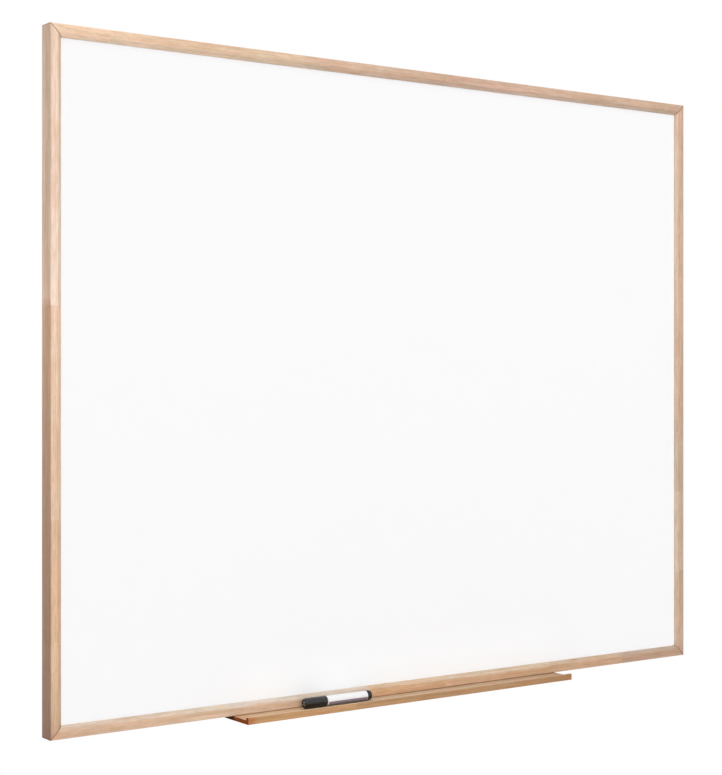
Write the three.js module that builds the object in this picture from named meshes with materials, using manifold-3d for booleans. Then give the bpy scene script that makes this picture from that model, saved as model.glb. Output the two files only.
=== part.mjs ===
// A dry-erase board in a mitred wooden frame, with a wooden pen tray and one capped marker.
// Millimetres. Facing the board, +X is to the right, +Z is up, and the writing surface faces -Y.
// The origin is on the wall plane, on the middle of the top rail's back face.

import * as THREE from 'three';
import { mergeVertices } from 'three/addons/utils/BufferGeometryUtils.js';
import Module from 'manifold-3d';

const wasm = await Module();
wasm.setup();

// Frame
const boardWidth = 1125;
const boardHeight = 900;
const frameDepth = 25;
const faceWidth = 16.5;        // outer edge to sight edge, as seen from the front
const rebateWidth = 6;         // how far the panel tucks in behind the rail's lip
const bevelWidth = 6;          // sloping inner band of the rail's front
const bevelDepth = 4.2;
const sightEdge = 1;           // thickness of the lip where the bevel ends
const arrisRadius = 1.2;       // rounding of the outer front edge
const bevelStartRadius = 1.5;  // soft line where the bevel begins
const sightRadius = 0.4;       // sanded edge along the bevel's foot
const backRadius = 0.5;        // sanded outer edge at the back
const hangLine = 3;            // the origin lies this far below the frame's top edge
const mitreGap = 0.15;         // glue line on each side of a mitre

// Finger joint in the left stile, which is glued up from two lengths
const spliceHeight = 545;      // root of the joint, above the frame's lower edge
const fingerLength = 10;
const fingerCount = 5;
const fingerTip = 0.8;
const spliceGap = 0.8;         // measured along the stile

// Panel: painted steel, fibreboard and a thin backing, one behind the other
const writingSheet = 0.5;
const coreBoard = 9;
const backingSheet = 0.5;
const glueLine = 0.2;
const panelEdgeGap = 0.5;      // all round, to the wall of the rebate
const seatGap = 0.3;           // between pieces that touch

// Flat steel points that hold the panel in its rebate
const pointSpacing = 280;
const pointWidth = 6;
const pointGrip = 6;           // length driven into the wood
const pointReach = 8;          // length lying over the backing
const pointThickness = 0.5;
const slotGap = 0.2;

// Steel corner plates, let in flush with the back, each with a two-way keyhole
const plateInset = 2;          // from the frame's outer edges
const plateLeg = 58;
const plateLegWidth = 7.5;
const plateThickness = 1.2;
const plateCorner = 2;
const keyholeInset = 25;       // middle of the keyhole's round entry, from both outer edges
const keyholeEntry = 5;        // radius
const keyholeSlot = 2.5;       // half of the slot's width
const keyholeTravel = 9;
const plateScrewAlong = 50;    // screw holes, along from the frame's outer corner

// V-nails that pull the mitres together, driven from the back
const nailInset = 5;
const nailLeg = 5.5;
const nailThickness = 0.8;
const nailHeight = 10;

// Screws
const plateScrew = { head: 2.8, headDepth: 1.6, shank: 1.4, tip: 2.5, length: 12 };
const trayScrew = { head: 3.4, headDepth: 2, shank: 1.7, tip: 3, length: 14 };
const boreGap = 0.3;
const recessLength = 3;        // cross recess in each head
const recessWidth = 0.7;
const recessDepth = 1;

// Pen tray: a flat moulding with a low lip along its front
const trayLength = 577;
const trayOffset = -7;         // middle of the tray, from the middle of the board
const trayReach = 37;          // in front of the frame's front
const trayBackInset = 1;       // behind it, the tray stops short of the wall
const trayThickness = 5.4;
const lipHeight = 9;           // from the tray's underside
const lipThickness = 5;
const lipRadius = 1.2;         // rounding of the lip's top, and of the fillet at its foot
const trayEdgeRadius = 0.6;    // sanded long edges of the underside
const trayGap = 0.5;           // shadow line between the tray and the rail
const trayScrewCount = 3;
const trayScrewMargin = 56;    // from the tray's ends

// Marker, measured from the closed end of its cap
const markerLength = 112;
const markerMiddle = -136;     // from the middle of the board
const markerStandOff = 13.5;   // axis of the marker, in front of the frame's front
const barrelRadius = 6.8;
const barrelWall = 1;
const plugLength = 7.4;
const plugSpigot = 4;
const plugRound = 1.8;
const capLength = 36;
const capRadius = 7.3;
const capTaper = 0.2;          // how much smaller the closed end is
const capWall = 1.1;
const capRound = 2.2;
const capEndWall = 1.4;
const capEndRecess = 1;
const capEndRim = 1.2;         // width of the rim round the recess
const ventCount = 4;
const ventLength = 2.2;
const ventWidth = 1.6;
const ventRadius = 4;
const linerRadius = 4.6;
const linerWall = 0.9;
const linerLength = 21;
const noseTipRadius = 3.4;
const noseTipLength = 8;
const noseCone = 7;
const noseFit = 0.4;           // between the nose and the inside of the cap
const noseFlange = 1;
const noseSpigot = 9.4;
const nibRadius = 2.5;
const nibGap = 0.2;
const nibTipInset = 12;        // tip of the nib, from the closed end of the cap
const nibOut = 7;              // how far the nib stands out of the nose
const nibBullet = 4;
const reservoirGap = 0.5;

// Fineness of round shapes
const smallSegments = 16;
const boreSegments = 24;
const markerSegments = 36;
const arcSteps = 4;
const cutOver = 2;             // how far a cutting tool runs past the face that it cuts
const weldDistance = 1e-4;     // corners nearer than this are one

// Values that follow from the sizes above
const landWidth = faceWidth - rebateWidth;
const frameTop = hangLine;
const frameBottom = frameTop - boardHeight;
const frameMiddle = (frameTop + frameBottom) / 2;
const frameFront = -frameDepth;
const lipBack = frameFront + bevelDepth + sightEdge;
const panelFront = lipBack + seatGap;
const coreFront = panelFront + writingSheet + glueLine;
const backingFront = coreFront + coreBoard + glueLine;
const panelBack = backingFront + backingSheet;
const panelWidth = boardWidth - 2 * (landWidth + panelEdgeGap);
const panelHeight = boardHeight - 2 * (landWidth + panelEdgeGap);
const pointFront = panelBack + seatGap;
const plateSeat = plateThickness + seatGap;
const plateScrewIn = plateInset + plateLegWidth / 2;
const trayTop = frameBottom - trayGap;

// Finishes
const finishes = {
  top: { color: 0xe4bf98, roughness: 0.62, metalness: 0 },
  stile: { color: 0xe8c5a3, roughness: 0.62, metalness: 0 },
  stileUpper: { color: 0xeed4bb, roughness: 0.62, metalness: 0 },
  bottom: { color: 0xd6b18b, roughness: 0.62, metalness: 0 },
  tray: { color: 0xcfa478, roughness: 0.6, metalness: 0 },
  enamel: { color: 0xfafafb, roughness: 0.2, metalness: 0 },
  fibreboard: { color: 0x9b7a56, roughness: 0.85, metalness: 0 },
  backing: { color: 0xb9bcbe, roughness: 0.45, metalness: 0.8 },
  zinc: { color: 0xc3c6c9, roughness: 0.35, metalness: 0.9 },
  steel: { color: 0xa9acb0, roughness: 0.4, metalness: 0.9 },
  capPlastic: { color: 0x343735, roughness: 0.35, metalness: 0 },
  barrelPlastic: { color: 0xf1f1f3, roughness: 0.3, metalness: 0 },
  linerPlastic: { color: 0xe6e6e0, roughness: 0.5, metalness: 0 },
  fibre: { color: 0x2a2a2e, roughness: 0.9, metalness: 0 },
};

function namedMesh(name, geometry, finish) {
  const mesh = new THREE.Mesh(geometry, new THREE.MeshStandardMaterial(finishes[finish]));
  mesh.name = name;
  return mesh;
}

// Joining and cutting

function solidOf(geometry) {
  const bare = geometry.clone();
  bare.deleteAttribute('normal');
  bare.deleteAttribute('uv');
  const merged = mergeVertices(bare, weldDistance);
  return new wasm.Manifold(new wasm.Mesh({
    numProp: 3,
    vertProperties: new Float32Array(merged.attributes.position.array),
    triVerts: new Uint32Array(merged.index.array),
  }));
}

function geometryOf(solid) {
  const mesh = solid.getMesh();
  const geometry = new THREE.BufferGeometry();
  geometry.setAttribute('position', new THREE.BufferAttribute(mesh.vertProperties, 3));
  geometry.setIndex(new THREE.BufferAttribute(mesh.triVerts, 1));
  const flat = geometry.toNonIndexed();
  flat.computeVertexNormals();
  return flat;
}

function cut(geometry, tools) {
  return geometryOf(tools.reduce((left, tool) => left.subtract(solidOf(tool)), solidOf(geometry)));
}

// Outlines and prisms. An outline lists [x, y] points, and a third number softens a corner by that radius.

function shapeOf(outline) {
  const corners = outline.map(([x, y]) => new THREE.Vector2(x, y));
  const shape = new THREE.Shape();
  corners.forEach((corner, index) => {
    const radius = outline[index][2] ?? 0;
    const towards = (other) => corner.clone().addScaledVector(other.clone().sub(corner).normalize(), radius);
    const start = towards(corners.at(index - 1));
    if (index === 0) shape.moveTo(start.x, start.y);
    else shape.lineTo(start.x, start.y);
    if (radius > 0) {
      const end = towards(corners[(index + 1) % corners.length]);
      shape.quadraticCurveTo(corner.x, corner.y, end.x, end.y);
    }
  });
  shape.closePath();
  return shape;
}

// A shape that lies in the frame's plane is drawn as [along, inward], and inward runs towards -Z
function flatShape(outline) {
  return shapeOf(outline.map(([along, inward, radius]) => [along, -inward, radius]));
}

// The prism's back face is at the given y, and its depth runs from there towards the front
function prism(shape, back, depth) {
  return new THREE.ExtrudeGeometry(shape, { depth, bevelEnabled: false, curveSegments: arcSteps })
    .rotateX(Math.PI / 2)
    .translate(0, back, 0);
}

// Screws stand along Y with their head's top at y = 0. A bore is the screw's own outline, grown.

function screwOutline({ head, headDepth, shank, tip, length }, growth) {
  return [
    new THREE.Vector2(0, -length - growth),
    new THREE.Vector2(shank + growth, -length + tip - growth),
    new THREE.Vector2(shank + growth, -headDepth),
    new THREE.Vector2(head + growth, 0),
  ];
}

function screwGeometry(screw) {
  const blank = new THREE.LatheGeometry([...screwOutline(screw, 0), new THREE.Vector2(0, 0)], smallSegments);
  const recess = [0, Math.PI / 2].map((turn) =>
    new THREE.BoxGeometry(recessLength, 2 * recessDepth, recessWidth).rotateY(turn));
  return cut(blank, recess);
}

function screwBore(screw) {
  const outline = screwOutline(screw, boreGap);
  const mouth = new THREE.Vector2(outline.at(-1).x, cutOver);
  return new THREE.LatheGeometry([...outline, mouth, new THREE.Vector2(0, cutOver)], smallSegments);
}

// Corner fittings, drawn for the upper left corner: along is to the right, inward is down.
// Turned by a quarter at a time about Y, the same drawing serves all four corners.

function plateOutline(growth) {
  const near = plateInset - growth;
  const far = plateLeg + growth;
  const edge = plateInset + plateLegWidth + growth;
  return [[near, near], [far, near], [far, edge], [edge, far], [near, far]]
    .map(([along, inward]) => [along, inward, plateCorner]);
}

function nailOutline(growth) {
  const near = nailInset - growth;
  const inner = nailInset + nailThickness + growth;
  const far = nailInset + nailLeg + growth;
  return [[near, near], [far, near], [far, inner], [inner, inner], [inner, far], [near, far]];
}

const plateScrewPlaces = [[plateScrewAlong, plateScrewIn], [plateScrewIn, plateScrewAlong]];

function plateScrewBores() {
  return plateScrewPlaces.map(([along, inward]) => screwBore(plateScrew).translate(along, 0, -inward));
}

function keyholeTools() {
  const height = plateThickness + 2 * cutOver;
  const post = (radius, along, inward) =>
    new THREE.CylinderGeometry(radius, radius, height, boreSegments).translate(along, 0, -inward);
  const end = keyholeInset - keyholeTravel;
  const middle = keyholeInset - keyholeTravel / 2;
  return [
    post(keyholeEntry, keyholeInset, keyholeInset),
    post(keyholeSlot, keyholeInset, end),
    post(keyholeSlot, end, keyholeInset),
    new THREE.BoxGeometry(2 * keyholeSlot, height, keyholeTravel).translate(keyholeInset, 0, -middle),
    new THREE.BoxGeometry(keyholeTravel, height, 2 * keyholeSlot).translate(middle, 0, -keyholeInset),
  ];
}

function cornerPlateGeometry() {
  const blank = prism(flatShape(plateOutline(0)), 0, plateThickness);
  return cut(blank, [...keyholeTools(), ...plateScrewBores()]);
}

function vNailGeometry() {
  return prism(flatShape(nailOutline(0)), -plateSeat - seatGap, nailHeight);
}

// What a corner's fittings take out of the two rails that meet there
function cornerCuts() {
  return [
    prism(flatShape(plateOutline(seatGap)), cutOver, plateSeat + cutOver),
    prism(flatShape(nailOutline(slotGap)), 0, plateSeat + seatGap + nailHeight + slotGap),
    ...plateScrewBores(),
  ];
}

// Panel points, drawn at the middle of a rail

function pointOutline(growth) {
  const half = pointWidth / 2 + growth;
  const tip = landWidth - pointGrip - growth;
  const tail = landWidth + pointReach;
  return [[0, tip], [half, tip + half], [half, tail], [-half, tail], [-half, tip + half]];
}

function pointGeometry() {
  return prism(flatShape(pointOutline(0)), pointFront + pointThickness, pointThickness);
}

function pointSlot() {
  const back = pointFront + pointThickness + slotGap;
  return prism(flatShape(pointOutline(slotGap)), back, pointThickness + 2 * slotGap);
}

function pointPlaces(length) {
  const count = Math.round(length / pointSpacing);
  return Array.from({ length: count }, (_, index) => (index - (count - 1) / 2) * (length / count));
}

// Rails. Each is drawn as a top rail: along X, with its outer edge at z = 0.
// The section lists [inward, y] points, from the outer back edge round the front to the rebate.

function railSection() {
  return shapeOf([
    [0, 0, backRadius],
    [0, frameFront, arrisRadius],
    [faceWidth - bevelWidth, frameFront, bevelStartRadius],
    [faceWidth, frameFront + bevelDepth, sightRadius],
    [faceWidth, lipBack],
    [landWidth, lipBack],
    [landWidth, 0],
  ]);
}

// A prism of unit length, stretched so that each end draws in by a point's distance from the edge
function mitredBlank(length) {
  const blank = new THREE.ExtrudeGeometry(railSection(), {
    depth: 1, bevelEnabled: false, curveSegments: arcSteps,
  });
  const position = blank.attributes.position;
  for (let index = 0; index < position.count; index += 1) {
    const inward = position.getX(index);
    const side = position.getZ(index) > 0.5 ? 1 : -1;
    position.setXYZ(index, side * (length / 2 - inward - mitreGap), position.getY(index), -inward);
  }
  blank.computeVertexNormals();
  return blank;
}

function railGeometry(length, extraCuts = []) {
  const half = length / 2;
  return cut(mitredBlank(length), [
    ...cornerCuts().map((tool) => tool.translate(-half, 0, 0)),
    ...cornerCuts().map((tool) => tool.rotateY(Math.PI / 2).translate(half, 0, 0)),
    ...pointPlaces(length).map((place) => pointSlot().translate(place, 0, 0)),
    ...extraCuts,
  ]);
}

// The block of space below or above the finger joint, in the rail's own frame
function spliceBlock(upper) {
  const pitch = frameDepth / fingerCount;
  const root = spliceHeight - boardHeight / 2 + (upper ? spliceGap : 0);
  const shape = new THREE.Shape();
  const farEnd = upper ? boardHeight : -boardHeight;
  shape.moveTo(farEnd, cutOver);
  shape.lineTo(root, cutOver);
  for (let finger = 0; finger < fingerCount; finger += 1) {
    const start = -finger * pitch;
    shape.lineTo(root, start - fingerTip / 2);
    shape.lineTo(root + fingerLength, start - pitch / 2 + fingerTip / 2);
    shape.lineTo(root + fingerLength, start - pitch / 2 - fingerTip / 2);
    shape.lineTo(root, start - pitch + fingerTip / 2);
  }
  shape.lineTo(root, -frameDepth - cutOver);
  shape.lineTo(farEnd, -frameDepth - cutOver);
  shape.closePath();
  const height = faceWidth + 2 * cutOver;
  return new THREE.ExtrudeGeometry(shape, { depth: height, bevelEnabled: false })
    .translate(0, 0, cutOver - height);
}

function splicedStile(length) {
  const whole = solidOf(railGeometry(length));
  return [false, true].map((upper) => geometryOf(whole.intersect(solidOf(spliceBlock(upper)))));
}

// Places on the frame

const corners = [
  { name: 'top_left', x: -boardWidth / 2, z: frameTop, turn: 0 },
  { name: 'top_right', x: boardWidth / 2, z: frameTop, turn: Math.PI / 2 },
  { name: 'bottom_right', x: boardWidth / 2, z: frameBottom, turn: Math.PI },
  { name: 'bottom_left', x: -boardWidth / 2, z: frameBottom, turn: -Math.PI / 2 },
];

const sides = [
  { name: 'top', x: 0, z: frameTop, turn: 0, length: boardWidth },
  { name: 'right', x: boardWidth / 2, z: frameMiddle, turn: Math.PI / 2, length: boardHeight },
  { name: 'bottom', x: 0, z: frameBottom, turn: Math.PI, length: boardWidth },
  { name: 'left', x: -boardWidth / 2, z: frameMiddle, turn: -Math.PI / 2, length: boardHeight },
];

function groupAt({ x, z, turn }, meshes) {
  const group = new THREE.Group();
  group.position.set(x, 0, z);
  group.rotation.y = turn;
  group.add(...meshes);
  return group;
}

function trayScrewPlaces() {
  const span = trayLength - 2 * trayScrewMargin;
  return Array.from({ length: trayScrewCount }, (_, index) =>
    trayOffset - span / 2 + (span * index) / (trayScrewCount - 1));
}

// Tray screws stand in the middle of the rail's depth, their heads flush with the tray's underside
function placedTrayScrew(geometry, place) {
  return geometry.rotateX(-Math.PI / 2).translate(place, -frameDepth / 2, trayTop - trayThickness);
}

function buildFrame() {
  const [top, right, bottom, left] = sides;
  const bottomCuts = trayScrewPlaces().map((place) =>
    placedTrayScrew(screwBore(trayScrew), place).translate(0, 0, -frameBottom).rotateY(Math.PI));
  const [leftLower, leftUpper] = splicedStile(left.length);
  return [
    groupAt(top, [namedMesh('top_rail', railGeometry(top.length), 'top')]),
    groupAt(right, [namedMesh('right_stile', railGeometry(right.length), 'stile')]),
    groupAt(bottom, [namedMesh('bottom_rail', railGeometry(bottom.length, bottomCuts), 'bottom')]),
    groupAt(left, [
      namedMesh('left_stile_lower', leftLower, 'stile'),
      namedMesh('left_stile_upper', leftUpper, 'stileUpper'),
    ]),
  ];
}

function buildPanel() {
  const layer = (name, front, thickness, finish) => {
    const mesh = namedMesh(name, new THREE.BoxGeometry(panelWidth, thickness, panelHeight), finish);
    mesh.position.set(0, front + thickness / 2, frameMiddle);
    return mesh;
  };
  return [
    layer('writing_sheet', panelFront, writingSheet, 'enamel'),
    layer('core_board', coreFront, coreBoard, 'fibreboard'),
    layer('backing_sheet', backingFront, backingSheet, 'backing'),
  ];
}

function buildPanelPoints() {
  let number = 0;
  return sides.map((side) => groupAt(side, pointPlaces(side.length).map((place) => {
    number += 1;
    const mesh = namedMesh(`panel_point_${String(number).padStart(2, '0')}`, pointGeometry(), 'steel');
    mesh.position.x = place;
    return mesh;
  })));
}

function buildCorners() {
  return corners.map((corner) => {
    const screws = plateScrewPlaces.map(([along, inward], index) => {
      const name = `plate_screw_${corner.name}_${index + 1}`;
      const screw = namedMesh(name, screwGeometry(plateScrew), 'steel');
      screw.position.set(along, 0, -inward);
      return screw;
    });
    return groupAt(corner, [
      namedMesh(`corner_plate_${corner.name}`, cornerPlateGeometry(), 'zinc'),
      namedMesh(`v_nail_${corner.name}`, vNailGeometry(), 'steel'),
      ...screws,
    ]);
  });
}

// The section lists [y, z] points, z from the tray's top, going round from the back
function traySection() {
  const front = frameFront - trayReach;
  const lipTop = lipHeight - trayThickness;
  return shapeOf([
    [-trayBackInset, 0],
    [front + lipThickness, 0, lipRadius],
    [front + lipThickness, lipTop, lipRadius],
    [front, lipTop, lipRadius],
    [front, -trayThickness, trayEdgeRadius],
    [-trayBackInset, -trayThickness, trayEdgeRadius],
  ]);
}

function buildTray() {
  const alongX = new THREE.Matrix4().makeBasis(
    new THREE.Vector3(0, 1, 0), new THREE.Vector3(0, 0, 1), new THREE.Vector3(1, 0, 0));
  const blank = new THREE.ExtrudeGeometry(traySection(), {
    depth: trayLength, bevelEnabled: false, curveSegments: arcSteps,
  }).applyMatrix4(alongX).translate(trayOffset - trayLength / 2, 0, trayTop);
  const bores = trayScrewPlaces().map((place) => placedTrayScrew(screwBore(trayScrew), place));
  const screws = trayScrewPlaces().map((place, index) => {
    const geometry = placedTrayScrew(screwGeometry(trayScrew), place);
    return namedMesh(`tray_screw_${index + 1}`, geometry, 'steel');
  });
  return [namedMesh('marker_tray', cut(blank, bores), 'tray'), ...screws];
}

// Marker. A profile lists [distance from the cap's closed end, radius] points.

function turned(profile) {
  const points = profile.map(([along, radius]) => new THREE.Vector2(radius, along));
  return new THREE.LatheGeometry(points, markerSegments).rotateZ(-Math.PI / 2);
}

function roundedEdge(alongMiddle, radiusMiddle, radius, from, to) {
  return Array.from({ length: arcSteps + 1 }, (_, index) => {
    const angle = from + ((to - from) * index) / arcSteps;
    return [alongMiddle + radius * Math.cos(angle), radiusMiddle + radius * Math.sin(angle)];
  });
}

const capInside = capRadius - capWall;
const capInnerEnd = capEndRecess + capEndWall;
const linerEnd = capInnerEnd + seatGap;
const flangeStart = capLength + seatGap;
const barrelStart = flangeStart + noseFlange + seatGap;
const barrelEnd = markerLength - plugLength - seatGap;
const barrelInside = barrelRadius - barrelWall;
const spigotRadius = barrelInside - seatGap;
const noseStart = nibTipInset + nibOut;
const noseEnd = flangeStart + noseFlange + noseSpigot;
const plugInnerEnd = barrelEnd - plugSpigot;

function capGeometry() {
  const endRadius = capRadius - capTaper;
  const recessRadius = endRadius - capRound - capEndRim;
  const blank = turned([
    [capEndRecess, 0],
    [capEndRecess, recessRadius],
    [0, recessRadius],
    ...roundedEdge(capRound, endRadius - capRound, capRound, Math.PI, 0.5 * Math.PI),
    [capLength, capRadius],
    [capLength, capInside],
    [capInnerEnd, capInside],
    [capInnerEnd, 0],
  ]);
  const vents = Array.from({ length: ventCount }, (_, index) =>
    new THREE.BoxGeometry(2 * capEndWall + cutOver, ventLength, ventWidth)
      .translate(capEndRecess, ventRadius - ventLength / 2, 0)
      .rotateX((index * 2 * Math.PI) / ventCount + Math.PI / ventCount));
  return cut(blank, vents);
}

function linerGeometry() {
  return turned([
    [linerEnd, 0],
    [linerEnd, linerRadius],
    [linerEnd + linerLength, linerRadius],
    [linerEnd + linerLength, linerRadius - linerWall],
    [linerEnd + linerWall, linerRadius - linerWall],
    [linerEnd + linerWall, 0],
  ]);
}

function noseGeometry() {
  const bore = nibRadius + nibGap;
  const bodyRadius = capInside - noseFit;
  const coneStart = noseStart + noseTipLength;
  return turned([
    [noseStart, bore],
    [noseStart, noseTipRadius],
    [coneStart, noseTipRadius],
    [coneStart + noseCone, bodyRadius],
    [flangeStart, bodyRadius],
    [flangeStart, barrelRadius],
    [flangeStart + noseFlange, barrelRadius],
    [flangeStart + noseFlange, spigotRadius],
    [noseEnd, spigotRadius],
    [noseEnd, bore],
    [noseStart, bore],
  ]);
}

function nibGeometry() {
  const bullet = roundedEdge(0, 0, 1, Math.PI, 0.5 * Math.PI).map(([along, radius]) =>
    [nibTipInset + nibBullet * (1 + along), nibRadius * radius]);
  bullet[0][1] = 0;
  return turned([...bullet, [noseEnd + seatGap, nibRadius], [noseEnd + seatGap, 0]]);
}

function barrelGeometry() {
  return turned([
    [barrelStart, barrelInside],
    [barrelStart, barrelRadius],
    [barrelEnd, barrelRadius],
    [barrelEnd, barrelInside],
    [barrelStart, barrelInside],
  ]);
}

function reservoirGeometry() {
  const radius = barrelInside - reservoirGap;
  const start = noseEnd + 2 * seatGap;
  const end = plugInnerEnd - seatGap;
  return turned([[start, 0], [start, radius], [end, radius], [end, 0]]);
}

function plugGeometry() {
  return turned([
    [plugInnerEnd, 0],
    [plugInnerEnd, spigotRadius],
    [markerLength - plugLength, spigotRadius],
    [markerLength - plugLength, barrelRadius],
    ...roundedEdge(markerLength - plugRound, barrelRadius - plugRound, plugRound, 0.5 * Math.PI, 0),
    [markerLength, 0],
  ]);
}

function buildMarker() {
  const marker = new THREE.Group();
  const axisHeight = trayTop + seatGap + capRadius;
  marker.position.set(markerMiddle - markerLength / 2, frameFront - markerStandOff, axisHeight);
  marker.add(
    namedMesh('marker_cap', capGeometry(), 'capPlastic'),
    namedMesh('cap_liner', linerGeometry(), 'linerPlastic'),
    namedMesh('marker_nose', noseGeometry(), 'barrelPlastic'),
    namedMesh('marker_nib', nibGeometry(), 'fibre'),
    namedMesh('marker_barrel', barrelGeometry(), 'barrelPlastic'),
    namedMesh('ink_reservoir', reservoirGeometry(), 'fibre'),
    namedMesh('marker_end_plug', plugGeometry(), 'capPlastic'),
  );
  return marker;
}

const whiteboard = new THREE.Group();
whiteboard.add(
  ...buildFrame(),
  ...buildPanel(),
  ...buildPanelPoints(),
  ...buildCorners(),
  ...buildTray(),
  buildMarker(),
);

export default whiteboard;
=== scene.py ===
# A dry-erase board in a light wooden frame, with a wooden pen tray and a capped marker on it.
# Metres. The frame holds the joinery, the panel and the fittings. This file gives every surface its finish
# and adds the fine pieces, in the order in which the board is put together.

import math

import bmesh
import bpy
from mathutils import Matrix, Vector


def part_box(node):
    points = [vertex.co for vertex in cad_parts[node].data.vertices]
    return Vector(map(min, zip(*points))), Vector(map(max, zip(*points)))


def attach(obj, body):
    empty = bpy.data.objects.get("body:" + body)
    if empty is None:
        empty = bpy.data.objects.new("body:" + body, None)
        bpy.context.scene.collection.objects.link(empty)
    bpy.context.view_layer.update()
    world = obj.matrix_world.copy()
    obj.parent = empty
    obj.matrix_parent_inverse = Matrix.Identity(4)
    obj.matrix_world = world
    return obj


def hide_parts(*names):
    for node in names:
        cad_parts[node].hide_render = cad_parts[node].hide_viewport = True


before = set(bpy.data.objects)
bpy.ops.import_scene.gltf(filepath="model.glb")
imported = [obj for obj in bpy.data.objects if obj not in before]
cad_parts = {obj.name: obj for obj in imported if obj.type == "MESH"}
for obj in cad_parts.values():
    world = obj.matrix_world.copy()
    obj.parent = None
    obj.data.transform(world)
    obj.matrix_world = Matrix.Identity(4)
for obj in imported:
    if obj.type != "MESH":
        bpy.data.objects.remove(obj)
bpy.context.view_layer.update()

# Camera
# Level, at half the board's height, about 2.5 m off to its left, as a product photographer stands.
# The lens is long, so the frame's uprights stay upright and its far side shrinks by a quarter.
LENS = 78.2
SENSOR_WIDTH = 36
FRAMING_SHIFT = -0.01505
CAMERA_LEFT = 1.4650     # of the board's middle
CAMERA_AWAY = 1.9681     # from the wall
EYE_HEIGHT = 0.4571      # above the frame's lower edge
CAMERA_TURN = 35.367     # degrees from square on
scene = bpy.context.scene
frame_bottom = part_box("bottom_rail")[0].z
camera_data = bpy.data.cameras.new("camera")
camera_data.lens = LENS
camera_data.sensor_width = SENSOR_WIDTH
camera_data.shift_y = FRAMING_SHIFT
camera = bpy.data.objects.new("camera", camera_data)
scene.collection.objects.link(camera)
camera.location = (-CAMERA_LEFT, -CAMERA_AWAY, frame_bottom + EYE_HEIGHT)
camera.rotation_euler = (math.pi / 2, 0, math.radians(-CAMERA_TURN))
scene.camera = camera
scene.view_settings.view_transform = "Standard"


# Room
# A pale floor well below the board, as under a board on a wall. It carries the board's soft shadow
# and fades to plain white away from it, and the air around is white to the eye and to anything glossy.
FLOOR_DROP = 0.9
FLOOR_SIZE = 60
FLOOR_GREY = (0.85, 0.85, 0.85, 1)
FLOOR_GLOW = 0.45        # how far the floor is white already under the board
FADE_START = 1.2
FADE_END = 3.0
WHITE = (1, 1, 1, 1)
AIR_TINT = (0.98, 0.99, 1, 1)
AMBIENT = 0.26           # of the air at and below eye level
AMBIENT_RISE = 0.5       # how much brighter it is straight overhead


def new_material(name):
    material = bpy.data.materials.new(name)
    material.use_nodes = True
    material.node_tree.nodes.clear()
    return material, material.node_tree


def node(tree, kind, inputs=None, **settings):
    """Adds a node. Each input is given by name or number, as a value or as the socket that feeds it."""
    made = tree.nodes.new(kind)
    for key, value in settings.items():
        setattr(made, key, value)
    for key, value in (inputs or {}).items():
        if isinstance(value, bpy.types.NodeSocket):
            tree.links.new(value, made.inputs[key])
        else:
            made.inputs[key].default_value = value
    return made


def arithmetic(tree, operation, first, second=0.0, clamp=False):
    made = node(tree, "ShaderNodeMath", {0: first, 1: second}, operation=operation, use_clamp=clamp)
    return made.outputs[0]


def ramp(tree, value, low, high, to_low=0.0, to_high=1.0):
    """Runs smoothly from to_low to to_high as value goes from low to high."""
    limits = {"Value": value, "From Min": low, "From Max": high, "To Min": to_low, "To Max": to_high}
    return node(tree, "ShaderNodeMapRange", limits, interpolation_type="SMOOTHSTEP").outputs["Result"]


def vector_math(tree, operation, first, second=(0, 0, 0)):
    return node(tree, "ShaderNodeVectorMath", {0: first, 1: second}, operation=operation).outputs[0]


def length_of(tree, vector):
    return node(tree, "ShaderNodeVectorMath", {0: vector}, operation="LENGTH").outputs["Value"]


def axes(tree, vector):
    return node(tree, "ShaderNodeSeparateXYZ", {0: vector}).outputs


def object_place(tree):
    return node(tree, "ShaderNodeTexCoord").outputs["Object"]


world = bpy.data.worlds.new("air")
scene.world = world
world.use_nodes = True
air = world.node_tree
air.nodes.clear()
path = node(air, "ShaderNodeLightPath")
seen = arithmetic(air, "MAXIMUM", path.outputs["Is Camera Ray"], path.outputs["Is Transmission Ray"])
seen = arithmetic(air, "MAXIMUM", seen, path.outputs["Is Glossy Ray"])
way_up = axes(air, node(air, "ShaderNodeTexCoord").outputs["Generated"])[2]
dome = arithmetic(air, "MULTIPLY", arithmetic(air, "MAXIMUM", way_up, 0.0), AMBIENT_RISE)
dome = arithmetic(air, "ADD", dome, AMBIENT)
ambient = node(air, "ShaderNodeBackground", {"Color": AIR_TINT, "Strength": dome})
glow = node(air, "ShaderNodeBackground", {"Color": WHITE, "Strength": 1.0})
blend = node(air, "ShaderNodeMixShader", {0: seen, 1: ambient.outputs[0], 2: glow.outputs[0]})
node(air, "ShaderNodeOutputWorld", {"Surface": blend.outputs[0]})

floor_mesh = bmesh.new()
bmesh.ops.create_grid(floor_mesh, x_segments=1, y_segments=1, size=FLOOR_SIZE / 2)
bmesh.ops.translate(floor_mesh, verts=floor_mesh.verts, vec=(0, 0, frame_bottom - FLOOR_DROP))
floor_data = bpy.data.meshes.new("floor")
floor_mesh.to_mesh(floor_data)
floor_mesh.free()
floor = bpy.data.objects.new("floor", floor_data)
scene.collection.objects.link(floor)

floor_material, tree = new_material("pale_floor")
path = node(tree, "ShaderNodeLightPath")
away = length_of(tree, vector_math(tree, "MULTIPLY", object_place(tree), (1, 1, 0)))
whiteness = ramp(tree, away, FADE_START, FADE_END, FLOOR_GLOW)
shown = arithmetic(tree, "MULTIPLY", whiteness, path.outputs["Is Camera Ray"])
matt = node(tree, "ShaderNodeBsdfDiffuse", {"Color": FLOOR_GREY})
white = node(tree, "ShaderNodeEmission", {"Color": WHITE, "Strength": 1.0})
mix = node(tree, "ShaderNodeMixShader", {0: shown, 1: matt.outputs[0], 2: white.outputs[0]})
node(tree, "ShaderNodeOutputMaterial", {"Surface": mix.outputs[0]})
floor_data.materials.append(floor_material)


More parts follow.
